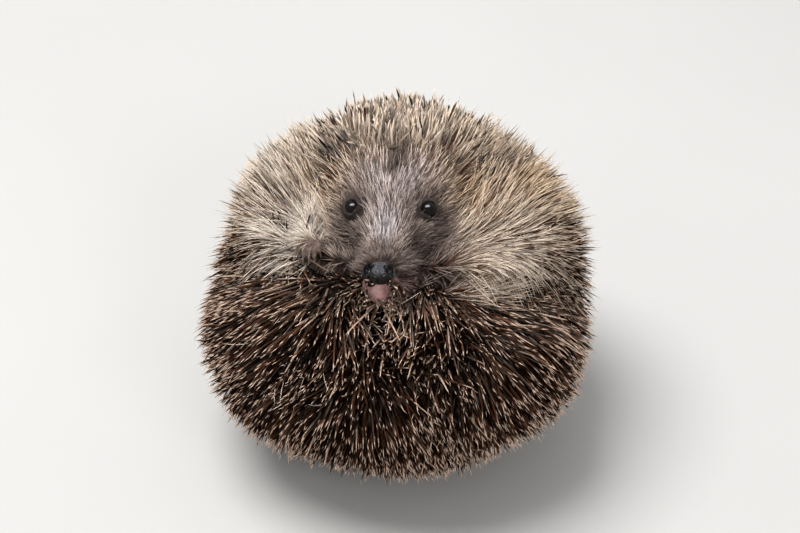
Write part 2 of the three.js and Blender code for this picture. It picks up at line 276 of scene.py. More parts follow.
def ear_sdf(p, side):
    out, across, up = ear_frame(side)
    x, y, z = local(p, EARS[side], (across, up, out)).T
    cup = 0.030 * (x * x + y * y) - 1.6
    return ellipsoid(np.stack([x, y, z - cup], 1), [4.8, 6.2, 1.0])


ANKLE = np.array([-31.0, 15.6, 46.2])
TOES_ON = unit([0, -0.93, 0.37])
TOES_ACROSS = np.array([1.0, 0, 0])


def toe(i):
    place = i - 2
    root = ANKLE + TOES_ACROSS * place * 1.4 + TOES_ON * (0.2 if abs(place) < 2 else -0.8)
    way = unit(TOES_ON + TOES_ACROSS * place * 0.12)
    length = 4.8 if abs(place) < 2 else 3.8
    middle = root + way * length * 0.55 + np.array([0, 0.25, 0.95])
    return root, middle, root + way * length


def foot_sdf(p):
    d = capsule(p, [-34, 24, 28], ANKLE, 3.4, 2.4)
    for i in range(5):
        root, middle, tip = toe(i)
        d = smooth_min(d, capsule(p, root, middle, 1.0, 0.85), 0.5)
        d = smooth_min(d, capsule(p, middle, tip, 0.85, 0.78), 0.3)
    return d


def chin_sdf(p):
    """The bare lower lip, narrowing down to the chin, with the jaw behind it."""
    off = p - MOUTH
    drop = -off[:, 1]
    narrow = mix(1.0, 0.55, smoothstep(drop, 0, 6.5))
    lip = ellipsoid(np.stack([(off[:, 0] + 0.6) / narrow, drop - 1.6, off[:, 2] + 2.8 + 0.44 * drop], 1),
                    [6.3, 5.0, 1.6])
    furrow = capsule(p, MOUTH + [1.2, 0.4, 0.2], MOUTH + [0.9, -5.0, -0.6], 0.7, 0.4)
    lip = smooth_max(lip * 0.8, -furrow, 1.2)
    return smooth_min(lip, capsule(p, MOUTH + [1.6, 0, -14], MOUTH + [0, -2.4, -6], 4.8, 3.6), 1.5)


def skin_sdf(p):
    """Signed distance to the skin, near enough, in mm: negative inside."""
    radius = np.maximum(np.linalg.norm(p, axis=1), 1e-6)
    d = (radius - skin_radius(p / radius[:, None])) * 0.9
    near = (p[:, 2] > -6) & (p[:, 1] > -16) & (np.abs(p[:, 0]) < 46)
    q = p[near]
    face = head_sdf(q)
    # brows over the eyes, and a hollow below each one on its inner side
    for side, eye in EYES.items():
        out, across, up = eye_frame(side)
        brow = ellipsoid(local(q, eye - out * 1.8 + up * 1.4, (across, up, out)), [4.8, 3.6, 3.6])
        face = smooth_min(face, brow, 3.0)
        hollow = ellipsoid(local(q, eye + across * (4.6 if side == "right" else -4.6) - up * 2.2 + out * 3.6,
                                 (across, up, out)), [3.4, 3.8, 2.8])
        face = smooth_max(face, -hollow, 2.5)
    cheeks = [capsule(q, HEAD_LINE.point(6, s * 4.2, -2.2), HEAD_LINE.point(14, s * 6.2, -4.4), 2.6, 3.4)
              for s in (-1, 1)]
    for cheek in cheeks:
        face = smooth_min(face, cheek, 2.0)
    near_d = smooth_min(d[near], face, 5.0)
    for s in (-1, 1):
        pad = capsule(q, MOUTH + [3.4 * s, 2.0, -1.2], MOUTH + [5.2 * s, 2.8, -7.0], 2.2, 3.4)
        near_d = smooth_min(near_d, pad, 1.5)
    near_d = smooth_min(near_d, chin_sdf(q), 0.6)
    near_d = smooth_min(near_d, ear_sdf(q, "left"), 1.6)
    near_d = smooth_min(near_d, ear_sdf(q, "right"), 1.6)
    near_d = smooth_min(near_d, foot_sdf(q), 1.0)
    for side, eye in EYES.items():
        out, across, up = eye_frame(side)
        x, y, z = local(q, eye, (across, up, out)).T
        ball = np.sqrt(x * x + y * y + z * z)
        near_d = smooth_min(near_d, ball - (EYE_RADIUS + 0.62), 1.4)
        wide, high, inward, upward = LID_GAP[side]
        corner = x * (-1 if side == "left" else 1) - inward
        narrow = 1 - 0.16 * smoothstep(corner, 0, 2.9)
        opening = np.hypot(corner / (wide + 0.35 * smoothstep(corner, 0, 2)), (y - upward) / (high * narrow))
        opening = (opening - 1) * 2.6
        near_d = smooth_max(near_d, -smooth_max(opening, -(z - 0.9), 0.4), 0.35)
    d[near] = near_d
    # pressed flat over the floor
    height = p @ -FLOOR_WAY + CENTRE_HEIGHT
    return smooth_max(d, SKIN_FLOOR - height, 4.0)


def sdf_gradient(sdf, p, step=0.05):
    g = np.empty_like(p)
    for k in range(3):
        e = np.zeros(3)
        e[k] = step
        g[:, k] = (sdf(p + e) - sdf(p - e)) / (2 * step)
    return g


def settle(sdf, p, rounds=3):
    """Move points on to the surface."""
    for _ in range(rounds):
        g = sdf_gradient(sdf, p)
        size = np.maximum(dot(g, g), 0.15)
        p = p - np.clip(sdf(p) / size, -0.6, 0.6)[:, None] * g
    return p


def surface(sdf, low, high, pitch):
    """The surface of an SDF in a box, as points and quads."""
    low, high = np.asarray(low, float), np.asarray(high, float)
    counts = np.ceil((high - low) / pitch).astype(int) + 1
    axes = [low[k] + pitch * np.arange(counts[k]) for k in range(3)]
    grid = np.stack(np.meshgrid(*axes, indexing="ij"), -1).reshape(-1, 3)
    values = np.concatenate([sdf(part) for part in np.array_split(grid, max(1, len(grid) // 400000))])
    field = openvdb.FloatGrid()
    field.copyFromArray(values.reshape(counts).astype(np.float32))
    points, quads = field.convertToQuads(0.0)
    return points.astype(float) * pitch + low, quads.astype(int)


# ---- Markings ----------------------------------------------------------------------------------------------------------
def linear(r, g, b):
    c = np.array([r, g, b]) / 255
    return np.where(c <= 0.04045, c / 12.92, ((c + 0.055) / 1.055) ** 2.4)


CREAM = linear(250, 234, 216)
PALE = linear(250, 240, 228)
TAN = linear(242, 208, 166)
GREY = linear(249, 228, 216)
BRIDGE = linear(250, 243, 247)
DUSK = linear(162, 145, 138)
DARK = linear(60, 51, 48)
FLANK = linear(246, 225, 203)
RUMP_TIP = linear(238, 206, 184)
PINK = linear(232, 190, 187)
DEEP_PINK = linear(202, 142, 145)
MAUVE = linear(172, 138, 137)
# the ears' grey-brown fur, also painted round the ears as shade
EAR_FUR_AND_SHADE = linear(88, 78, 74)
EAR_SKIN = linear(66, 65, 72)
FOOT_SKIN = linear(114, 98, 92)
LID = linear(45, 42, 44)
UNDERCOAT = linear(60, 48, 42)
# near black brown: painted shade, the skin seen down between the spines
SHADED_SPINY_SKIN = linear(20, 8, 3)
BACKDROP = linear(240, 239, 236)


def blob(p, place, radii):
    off = (p - np.asarray(place, float)) / radii
    return np.exp(-dot(off, off))


def paint(colour, other, weight):
    return mix(colour, other, np.clip(weight, 0, 1)[:, None])


def coat_colour(p):
    """The colour of the fur rooted at p."""
    back, aside, above = HEAD_LINE.place(p).T
    side = np.abs(aside)
    on_head = 1 - smoothstep(back, 34, 52)
    colour = np.tile(FLANK, (len(p), 1))
    colour = paint(colour, PALE, 1.0 * blob(p, [-38, 20, 40], [14, 13, 20]))
    colour = paint(colour, PALE, 1.0 * blob(p, [-45, 40, 25], [14, 14, 20]))
    colour = paint(colour, TAN, 0.95 * (blob(p, [-56, 22, 18], [12, 16, 22]) + blob(p, [46, 35, 28], [16, 14, 22])))
    colour = paint(colour, DUSK, 0.35 * blob(p, [-51, 18, 30], [11, 16, 22]))
    colour = paint(colour, PALE, 0.6 * blob(p, [34, 12, 46], [18, 11, 20]) + 0.7 * strip(p))
    colour = paint(colour, TAN, 0.6 * (blob(p, [-27, 34, 38], [8, 9, 14]) + blob(p, [24, 34, 40], [8, 9, 14])))
    colour = paint(colour, GREY, on_head * (1 - smoothstep(side, 12, 20)) * 0.95)
    # a whitish blaze on the muzzle that goes up in two arms beside the dark parting on the forehead
    arms = np.exp(-(((side - np.interp(back, [14, 40], [0, 7])) / 4.2) ** 2)) * smoothstep(above, 0, 3)
    colour = paint(colour, BRIDGE, 0.6 * arms * smoothstep(back, 8, 13) * (1 - smoothstep(back, 34, 46)))
    colour = paint(colour, DUSK, 0.5 * np.exp(-(((back - 20) / 5) ** 2)) * (1 - smoothstep(side, 8, 14)) * (above > 0))
    colour = paint(colour, BRIDGE, 1.2 * blob(p, HEAD_LINE.point(10.8, 0, 6.5), [4.4, 5.2, 6.0]))
    cheek = smoothstep(back, 2, 8) * (1 - smoothstep(back, 26, 36)) * smoothstep(side, 4, 6.5) * smoothstep(-above, -8, -2)
    colour = paint(colour, DUSK, cheek * (1 - smoothstep(side, 15, 24)))
    colour = paint(colour, PALE, 0.9 * whitest(p))
    colour = paint(colour, DUSK, 0.95 * (1 - smoothstep(back, 3.0, 9.5)))
    colour = paint(colour, DARK, 0.25 * (1 - smoothstep(back, 2, 8)))
    # dark on the muzzle's side planes: painted shade
    for s in (-1, 1):
        colour = paint(colour, DARK, 0.85 * blob(p, HEAD_LINE.point(13.5, 7.8 * s, 2.8), [2.6, 5.0, 5.0]))
    for side, eye in EYES.items():
        inner = eye + HEAD_LINE.across[20] * (-1.5 if side == "left" else 1.5)
        colour = paint(colour, DUSK, 0.8 * blob(p, eye, 7.5))
        colour = paint(colour, DARK, 0.95 * blob(p, inner, 5.4))
    colour = paint(colour, DARK, 0.9 * blob(p, HEAD_LINE.point(45, 2.4, 15), [1.9, 6, 8]))
    colour = paint(colour, DARK, 0.9 * blob(p, HEAD_LINE.point(38, 0.2, 15), [1.9, 7, 8]))
    colour = paint(colour, MAUVE, 0.7 * blob(p, MOUTH + [8.0, 3.0, -3.5], [3.6, 3.2, 6.0]))
    colour = paint(colour, PINK, 0.6 * blob(p, MOUTH + [-0.6, -2.5, -3], [6.5, 4.0, 6.0]))
    # the ears' own grey-brown fur, and round each ear a dark patch painted as shade among the hair
    for side, ear in EARS.items():
        colour = paint(colour, EAR_FUR_AND_SHADE, 1 - smoothstep(ear_sdf(p, side), 0.3, 1.2))
        colour = paint(colour, EAR_FUR_AND_SHADE, 0.7 * blob(p, ear, [4, 7, 9]))
    return colour


def skin_colour(p):
    direction = unit(p)
    back, aside, above = HEAD_LINE.place(p).T
    bare = spininess(direction)
    below = 1 - smoothstep(above_crease(direction), -0.05, 0.02)
    # elsewhere the coat's colour, much darker: the skin's own colour with painted shade under the fur
    colour = mix(coat_colour(p) * 0.4, UNDERCOAT, 0.6)
    # under the spines and below the crease the skin is painted near black, as the shade there
    colour = paint(colour, SHADED_SPINY_SKIN, np.maximum(smoothstep(bare, 0.6, 1.0), below))
    colour = paint(colour, DARK, 1.5 * blob(p, NOSE + [0, 3, 0], 6.5))
    colour = paint(colour, MAUVE, 1.3 * blob(p, MOUTH + [8.0, 3.6, -3.5], [4.4, 4.2, 6.0]))
    lip = 1 - smoothstep(chin_sdf(p), 0.25, 0.8)
    edge = smoothstep(np.abs(p[:, 0] - MOUTH[0] + 0.6) + 0.3 * (MOUTH[1] - p[:, 1]), 1.6, 4.6)
    colour = paint(colour, mix(PINK, MAUVE, edge[:, None]), lip)
    colour = paint(colour, DEEP_PINK, lip * blob(p, MOUTH + [1.2, -2.0, 0], [1.3, 3.6, 6.0]))
    for side, eye in EYES.items():
        colour = paint(colour, LID, 1.8 * blob(p, eye, 3.9))
    for side in ("left", "right"):
        near = ear_sdf(p, side) < 0.7
        colour = paint(colour, EAR_SKIN, near.astype(float))
    # a painted shadow in the hollow beside the foot
    colour = paint(colour, SHADED_SPINY_SKIN, 1.5 * blob(p, ANKLE + [7.5, -3.0, -2], [6.5, 6.0, 8.0]))
    colour = paint(colour, FOOT_SKIN, (1 - smoothstep(foot_sdf(p), 0.4, 1.4)))
    return colour


# ---- Mesh helpers -------------------------------------------------------------------------------------------------------
def link(obj):
    bpy.context.scene.collection.objects.link(obj)
    return obj


def set_uv(mesh, uv):
    layer = mesh.uv_layers.get("OFBake") or mesh.uv_layers.new(name="OFBake")
    layer.data.foreach_set("uv", np.ascontiguousarray(uv, np.float32).ravel())


def set_float(mesh, name, values):
    mesh.attributes.new(name, "FLOAT", "POINT").data.foreach_set("value", np.ascontiguousarray(values, np.float32))


def set_colour(mesh, name, values):
    rgba = np.ones((len(values), 4), np.float32)
    rgba[:, :3] = values
    mesh.attributes.new(name, "FLOAT_COLOR", "POINT").data.foreach_set("color", rgba.ravel())


def mesh_object(name, points, faces):
    """An object from curl-frame points and faces that all have the same number of corners, or lists of such."""
    mesh = bpy.data.meshes.new(name)
    groups = faces if isinstance(faces, list) else [faces]
    mesh.vertices.add(len(points))
    mesh.vertices.foreach_set("co", to_row(points).astype(np.float32).ravel())
    total = np.concatenate([np.full(len(g), g.shape[1]) for g in groups])
    mesh.loops.add(int(total.sum()))
    mesh.loops.foreach_set("vertex_index", np.concatenate([g.ravel() for g in groups]).astype(np.int32))
    mesh.polygons.add(len(total))
    mesh.polygons.foreach_set("loop_start", np.concatenate([[0], np.cumsum(total)[:-1]]).astype(np.int32))
    mesh.polygons.foreach_set("use_smooth", np.ones(len(total), bool))
    mesh.update(calc_edges=True)
    return link(bpy.data.objects.new(name, mesh))


def points_of(mesh):
    co = np.empty(len(mesh.vertices) * 3, np.float32)
    mesh.vertices.foreach_get("co", co)
    return from_row(co.reshape(-1, 3))


# ---- Materials ------------------------------------------------------------------------------------------------------------
class Nodes:
    """A short way to build a node tree."""

    def __init__(self, name):
        self.material = bpy.data.materials.new(name)
        self.material.use_nodes = True
        self.tree = self.material.node_tree
        self.shader = self.tree.nodes["Principled BSDF"]

    def add(self, kind, **settings):
        node = self.tree.nodes.new(kind)
        for key, value in settings.items():
            setattr(node, key, value)
        return node

    def link(self, out, into):
        self.tree.links.new(out, into)

    def attribute(self, name, output="Fac"):
        return self.add("ShaderNodeAttribute", attribute_name=name).outputs[output]

    def math(self, operation, a, b=None):
        node = self.add("ShaderNodeMath", operation=operation)
        for socket, value in zip(node.inputs, (a, b)):
            if value is None:
                continue
            if isinstance(value, (int, float)):
                socket.default_value = value
            else:
                self.link(value, socket)
        return node.outputs[0]

    def ramp(self, value, stops, mode="LINEAR"):
        node = self.add("ShaderNodeValToRGB")
        node.color_ramp.interpolation = mode
        while len(node.color_ramp.elements) < len(stops):
            node.color_ramp.elements.new(0.5)
        for element, (place, level) in zip(node.color_ramp.elements, stops):
            element.position = place
            element.color = (*([level] * 3 if isinstance(level, (int, float)) else level), 1)
        self.link(value, node.inputs[0])
        return node.outputs[0]

    def mix(self, factor, a, b, blend="MIX"):
        node = self.add("ShaderNodeMix", data_type="RGBA", blend_type=blend)
        for socket, value in ((node.inputs[0], factor), (node.inputs[6], a), (node.inputs[7], b)):
            if isinstance(value, (int, float)):
                socket.default_value = value
            elif isinstance(value, (tuple, list, np.ndarray)):
                socket.default_value = (*[float(x) for x in value][:3], 1)
            else:
                self.link(value, socket)
        return node.outputs[2]

    def noise(self, scale, detail=3, roughness=0.55):
        node = self.add("ShaderNodeTexNoise")
        node.inputs["Scale"].default_value = scale
        node.inputs["Detail"].default_value = detail
        node.inputs["Roughness"].default_value = roughness
        self.link(self.add("ShaderNodeTexCoord").outputs["Object"], node.inputs["Vector"])
        return node.outputs["Fac"]

    def cells(self, scale, feature="F1"):
        node = self.add("ShaderNodeTexVoronoi", feature=feature)
        node.inputs["Scale"].default_value = scale
        self.link(self.add("ShaderNodeTexCoord").outputs["Object"], node.inputs["Vector"])
        return node.outputs["Distance"]

    def bump(self, height, distance, strength=1.0, under=None):
        node = self.add("ShaderNodeBump")
        node.inputs["Distance"].default_value = distance
        node.inputs["Strength"].default_value = strength
        self.link(height, node.inputs["Height"])
        if under is not None:
            self.link(under, node.inputs["Normal"])
        return node.outputs["Normal"]

    def finish(self, colour, roughness, normal=None, **sockets):
        if isinstance(colour, (tuple, list, np.ndarray)):
            self.shader.inputs["Base Color"].default_value = (*[float(x) for x in colour][:3], 1)
        else:
            self.link(colour, self.shader.inputs["Base Color"])
        if isinstance(roughness, (int, float)):
            self.shader.inputs["Roughness"].default_value = roughness
        else:
            self.link(roughness, self.shader.inputs["Roughness"])
        if normal is not None:
            self.link(normal, self.shader.inputs["Normal"])
        for name, value in sockets.items():
            self.shader.inputs[name.replace("_", " ")].default_value = value
        return self.material


def spine_material(name, roughness, root, dullest):
    """Cream, with a dark band that ends short of the tip. The cream base is painted dark as well, and darker still
    towards the root: painted shade down among the spines. `dark` says how dark the band is on each spine.
    """
    n = Nodes(name)
    tone = n.attribute("tone")
    along = n.math("ADD", n.attribute("along"), n.math("MULTIPLY", n.math("SUBTRACT", tone, 0.5), 0.08))
    # from the root the spine is dark, not cream: painted shade down in the coat
    band = n.ramp(along, [(0.0, 0.9), (0.2, 0.65), (0.38, 1.0), (0.83, 1.0), (0.90, 0.0), (1.0, 0.0)])
    band = n.math("MULTIPLY", band, n.attribute("dark"))
    mottle = n.ramp(n.noise(1500, 2), [(0.35, 0.0), (0.75, 0.4)])
    base = n.mix(mottle, n.attribute("coat", "Color"), (0.36, 0.20, 0.12))
    body = n.ramp(tone, [(0.0, (0.007, 0.0025, 0.001)), (0.5, (0.018, 0.0065, 0.0025)), (1.0, (0.14, 0.062, 0.036))])
    colour = n.mix(band, base, body)
    # darker towards the root: painted shade among the spines and quills
    colour = n.mix(1.0, colour, n.ramp(along, [(0.0, root), (0.42, mix(root, 1, 0.45)), (0.75, 1.0)]), "MULTIPLY")
    shade = n.ramp(tone, [(0.0, dullest), (0.4, 0.85), (1.0, 1.0)])
    colour = n.mix(1.0, colour, shade, "MULTIPLY")
    return n.finish(colour, roughness, Specular_IOR_Level=0.015)


def hair_material(name, roughness):
    """Fur: darker at the root, painted shade down among the hairs, with a faint band on some hairs."""
    n = Nodes(name)
    tone = n.attribute("tone")
    along = n.attribute("along")
    # painted shade: dark and brownish at the root, full colour from about halfway out
    root = n.ramp(along, [(0.0, (0.13, 0.10, 0.08)), (0.3, (0.6, 0.53, 0.48)), (0.55, 1.0)])
    colour = n.mix(1.0, n.attribute("coat", "Color"), root, "MULTIPLY")
    band = n.ramp(n.math("ADD", along, n.math("MULTIPLY", tone, 0.25)),
                  [(0.0, 0.0), (0.45, 0.0), (0.6, 1.0), (0.82, 1.0), (0.95, 0.0)])
    colour = n.mix(n.math("MULTIPLY", band, n.attribute("dark")), colour, (0.030, 0.021, 0.017))
    shade = n.ramp(tone, [(0.0, 0.10), (0.36, 0.84), (0.68, 1.0)])
    colour = n.mix(1.0, colour, shade, "MULTIPLY")
    return n.finish(colour, roughness, Specular_IOR_Level=0.06)


def skin_material():
    n = Nodes("hedgehog_skin")
    blotch = n.ramp(n.noise(800, 4), [(0.3, 0.66), (0.7, 1.15)])
    colour = n.mix(1.0, n.attribute("coat", "Color"), blotch, "MULTIPLY")
    folds = n.bump(n.noise(700, 4), 0.0004)
    grain = n.bump(n.cells(2600), 0.00012, under=folds)
    return n.finish(colour, n.ramp(n.noise(300), [(0.3, 0.55), (0.7, 0.75)]), grain,
                    Subsurface_Weight=0.08, Subsurface_Scale=0.001, Specular_IOR_Level=0.03)


def nose_material():
    """Blue-grey and dull on top and on the nostrils' rims, where it is a painted highlight; near black and wet in
    front.
    """
    n = Nodes("nose_leather")
    # `top` holds the blue-grey top and the painted highlight on the nostrils' rims
    top = n.attribute("top")
    grain = n.ramp(n.noise(1500, 3), [(0.35, 0.5), (0.65, 1.5)])
    colour = n.mix(top, (0.0085, 0.0065, 0.0065), (0.052, 0.051, 0.061))
    colour = n.mix(1.0, colour, grain, "MULTIPLY")
    cells = n.bump(n.cells(2100, "DISTANCE_TO_EDGE"), 0.0004)
    wet = n.bump(n.noise(1500, 3), 0.00006, under=cells)
    return n.finish(colour, n.ramp(top, [(0.0, 0.17), (1.0, 0.5)]), wet, Specular_IOR_Level=0.17)


def eye_material():
    n = Nodes("eye_black")
    colour = n.ramp(n.noise(260, 2), [(0.3, (0.002, 0.0015, 0.0015)), (0.8, (0.006, 0.004, 0.003))])
    return n.finish(colour, 0.05, Specular_IOR_Level=0.12)


def claw_material():
    n = Nodes("claw_horn")
    colour = n.ramp(n.noise(900, 3), [(0.3, (0.10, 0.075, 0.06)), (0.75, (0.30, 0.24, 0.19))])
    return n.finish(colour, 0.35, n.bump(n.noise(1800, 2), 0.00008))


# ---- Camera, floor and light ---------------------------------------------------------------------------------------------
def row_matrix(place, look, up):
    """A camera or lamp at a curl-frame place, looking along `look`."""
    back = -unit(look)
    side = unit(np.cross(up, back))
    axes = np.stack([side, np.cross(back, side), back], 1)
    turned = TO_ROW @ axes
    m = Matrix.Identity(4)
    for i in range(3):
        for j in range(3):
            m[i][j] = turned[i, j]
        m[i][3] = to_row(np.asarray(place, float)[None])[0][i]
    return m


def make_camera():
    camera = bpy.data.objects.new("camera", bpy.data.cameras.new("camera"))
    camera.data.lens = 100
    camera.data.sensor_width = 36
    camera.data.clip_start = 0.05
    camera.matrix_world = row_matrix([0.7, 7.6, 822], [0, 0, -1], [0, 1, 0])
    link(camera)
    bpy.context.scene.camera = camera


def seen(tree):
    """1 for what the camera sees, straight or in a reflection."""
    path = tree.nodes.new("ShaderNodeLightPath")
    total = path.outputs["Is Camera Ray"]
    for name in ("Is Glossy Ray", "Is Transmission Ray"):
        add = tree.nodes.new("ShaderNodeMath")
        add.operation = "MAXIMUM"
        tree.links.new(total, add.inputs[0])
        tree.links.new(path.outputs[name], add.inputs[1])
        total = add.outputs[0]
    return total


def make_stage():
    mesh = bpy.data.meshes.new("floor")
    mesh.from_pydata([(-8, -8, 0), (8, -8, 0), (8, 8, 0), (-8, 8, 0)], [], [(0, 1, 2, 3)])
    floor = link(bpy.data.objects.new("floor", mesh))
    n = Nodes("floor_pale")
    n.finish(n.ramp(n.noise(6, 2), [(0.3, 0.5), (0.7, 0.52)]), 0.9)
    # away from the hedgehog the floor is seen as the pale backdrop
    away = n.add("ShaderNodeVectorMath", operation="LENGTH")
    n.link(n.add("ShaderNodeTexCoord").outputs["Object"], away.inputs[0])
    far = n.ramp(n.math("MULTIPLY", away.outputs["Value"], 0.5), [(0.17, 0.0), (0.5, 1.0)], "EASE")
    glow = n.add("ShaderNodeEmission")
    glow.inputs["Color"].default_value = (*BACKDROP, 1)
    blend = n.add("ShaderNodeMixShader")
    n.link(n.math("MULTIPLY", far, seen(n.tree)), blend.inputs[0])
    n.link(n.shader.outputs[0], blend.inputs[1])
    n.link(glow.outputs[0], blend.inputs[2])
    n.link(blend.outputs[0], n.tree.nodes["Material Output"].inputs["Surface"])
    floor.data.materials.append(n.material)

    def lamp(name, place, size, power, colour):
        data = bpy.data.lights.new(name, "AREA")
        data.shape = "ELLIPSE"
        data.size, data.size_y = size
        data.energy = power
        data.color = colour
        obj = link(bpy.data.objects.new(name, data))
        place = np.array(place, float)
        target = np.array([0, 0, 0.06])
        back = unit(place - target)
        side = unit(np.cross([0.01, 1, 0.02], back))
        m = Matrix.Identity(4)
        for i, row in enumerate(np.stack([side, np.cross(back, side), back], 1)):
            m[i][0], m[i][1], m[i][2], m[i][3] = *row, place[i]
        obj.matrix_world = m
        return obj

    lamp("key", (-0.45, 0.1, 1.5), (0.95, 0.8), 28, (1.0, 0.98, 0.95))
    lamp("fill", (0.9, -1.3, 0.9), (1.2, 1.0), 9, (1.0, 0.985, 0.97)).visible_glossy = False
    lamp("catch_light", (-0.03, 0.12, 1.02), (0.85, 0.6), 44, (0.86, 0.93, 1.0)).visible_diffuse = False
    world = bpy.data.worlds.new("studio")
    world.use_nodes = True
    light = world.node_tree.nodes["Background"]
    light.inputs[0].default_value = (1.0, 0.985, 0.965, 1)
    light.inputs[1].default_value = 0.5
    backdrop = world.node_tree.nodes.new("ShaderNodeBackground")
    backdrop.inputs[0].default_value = (*BACKDROP, 1)
    blend = world.node_tree.nodes.new("ShaderNodeMixShader")
    world.node_tree.links.new(seen(world.node_tree), blend.inputs[0])
    world.node_tree.links.new(light.outputs[0], blend.inputs[1])
    world.node_tree.links.new(backdrop.outputs[0], blend.inputs[2])
    world.node_tree.links.new(blend.outputs[0], world.node_tree.nodes["World Output"].inputs["Surface"])
    bpy.context.scene.world = world
    bpy.context.scene.view_settings.view_transform = "Standard"


# ---- The skin ------------------------------------------------------------------------------------------------------------
def make_skin():
    pitch = 1.15
    points, quads = surface(skin_sdf, [-66, -64, -64], [66, 66, 70], pitch)
    obj = mesh_object("hedgehog_skin", points, quads)
    bm = bmesh.new()
    bm.from_mesh(obj.data)
    focus = [(EYES["left"], 7.5, 2), (EYES["right"], 7.5, 2), (MOUTH, 8.5, 2), (ANKLE + TOES_ON * 4, 8.0, 2)]
    focus += [(EARS[side], 10.0, 2) for side in ("left", "right")]
    for level in (1, 2):
        co = from_row(np.array([v.co for v in bm.verts]))
        near = np.zeros(len(co), bool)
        for place, reach, levels in focus:
            if levels >= level:
                near |= np.linalg.norm(co - place, axis=1) < reach / level ** 0.35
        bm.edges.ensure_lookup_table()
        chosen = [e for e in bm.edges if near[e.verts[0].index] and near[e.verts[1].index]]
        bmesh.ops.subdivide_edges(bm, edges=chosen, cuts=1, use_grid_fill=True)
        bm.verts.index_update()
    bmesh.ops.triangulate(bm, faces=[f for f in bm.faces if len(f.verts) > 4])
    bm.to_mesh(obj.data)
    bm.free()
    moved = settle(skin_sdf, points_of(obj.data))
    obj.data.vertices.foreach_set("co", to_row(moved).astype(np.float32).ravel())
    obj.data.polygons.foreach_set("use_smooth", np.ones(len(obj.data.polygons), bool))
    obj.data.update()
    set_colour(obj.data, "coat", skin_colour(moved))
    unwrap(obj)
    obj.data.materials.append(skin_material())
    return obj


def unwrap(obj):
    bpy.context.view_layer.objects.active = obj
    obj.select_set(True)
    while obj.data.uv_layers:
        obj.data.uv_layers.remove(obj.data.uv_layers[0])
    obj.data.uv_layers.new(name="OFBake")
    bpy.ops.object.mode_set(mode="EDIT")
    bpy.ops.mesh.select_all(action="SELECT")
    bpy.ops.uv.smart_project(angle_limit=math.radians(60), island_margin=0.002)
    bpy.ops.object.mode_set(mode="OBJECT")
    obj.select_set(False)


# ---- Roots: places on the skin ----------------------------------------------------------------------------------------
class Skin:
    """The skin's triangles, to scatter roots on."""

    def __init__(self, obj):
        mesh = obj.data
        mesh.calc_loop_triangles()
        count = len(mesh.loop_triangles)
        corners = np.empty(count * 3, np.int32)
        loops = np.empty(count * 3, np.int32)
        mesh.loop_triangles.foreach_get("vertices", corners)
        mesh.loop_triangles.foreach_get("loops", loops)
        uv = np.empty(len(mesh.loops) * 2, np.float32)
        mesh.uv_layers["OFBake"].data.foreach_get("uv", uv)
        self.points = points_of(mesh)
        self.corners = corners.reshape(-1, 3)
        self.uv = uv.reshape(-1, 2)[loops].reshape(-1, 3, 2)
        a, b, c = (self.points[self.corners[:, k]] for k in range(3))
        face = np.cross(b - a, c - a)
        self.area = np.linalg.norm(face, axis=1) / 2
        self.normal = unit(face)
        self.centre = (a + b + c) / 3

    def scatter(self, density, spacing=0.0):
        """Roots at `density(centre)` per mm2, none closer than `spacing` to another one kept."""
        want = density(self.centre) * self.area
        total = int(want.sum())
        pick = np.sort(rng.choice(len(want), total, p=want / want.sum()))
        r1, r2 = np.sqrt(rng.random(total)), rng.random(total)
        weights = np.stack([1 - r1, r1 * (1 - r2), r1 * r2], 1)
        p = np.einsum("nk,nkd->nd", weights, self.points[self.corners[pick]])
        uv = np.einsum("nk,nkd->nd", weights, self.uv[pick])
        if spacing:
            keep = thin_out(p, spacing)
            p, uv = p[keep], uv[keep]
        g = unit(sdf_gradient(skin_sdf, p, 0.8))
        return p, g, uv


def thin_out(p, spacing):
    """Drop points closer than the spacing to one already kept."""
    order = rng.permutation(len(p))
    tree = KDTree(len(p))
    for i, q in enumerate(p):
        tree.insert(q, i)
    tree.balance()
    state = np.zeros(len(p), np.int8)
    for i in order:
        if state[i]:
            continue
        state[i] = 1
        for _, j, _ in tree.find_range(p[i], spacing):
            if j != i and not state[j]:
                state[j] = 2
    return np.flatnonzero(state == 1)


def lie(p, normal):
    """Along the skin, the way the coat lies: away from the nose, and down into the crease on the flanks."""
    above = above_crease(unit(p))
    away = p - mix(RUMP_PARTS, COAT_PARTS, smoothstep(above, -0.12, 0.0)[:, None])
    far = np.linalg.norm(away, axis=1)
    fringe = smoothstep(np.abs(p[:, 0]), 12, 28) * (above > 0) * (1 - smoothstep(above, 0.06, 0.36))
    away[:, 1] -= 1.1 * fringe * far
    away = mix(away, np.array([0.1, -1.0, 0.1]) * far[:, None], 0.8 * hanging(p)[:, None])
    away = mix(away, np.array([1.0, -0.12, 0.0]) * far[:, None], strip(p)[:, None])
    return unit(away - normal * dot(away, normal)[:, None])


def hanging(p):
    """1 where the left flank's coat hangs down over the crease."""
    above = above_crease(unit(p))
    x = p[:, 0]
    return smoothstep(x, 8, 32) * (1 - smoothstep(x, 36, 52)) * (above > 0) * (1 - smoothstep(above, 0.10, 0.34))


def strip(p):
    """1 on the pale strip of hair that lies sideways along the crease's lower edge, on the left flank."""
    above = above_crease(unit(p))
    x, _, z = p.T
    across = np.exp(-(((above + 0.05) / 0.043) ** 2))
    return across * smoothstep(x, 12, 20) * (1 - smoothstep(x, 26, 40)) * smoothstep(z, 5, 20)


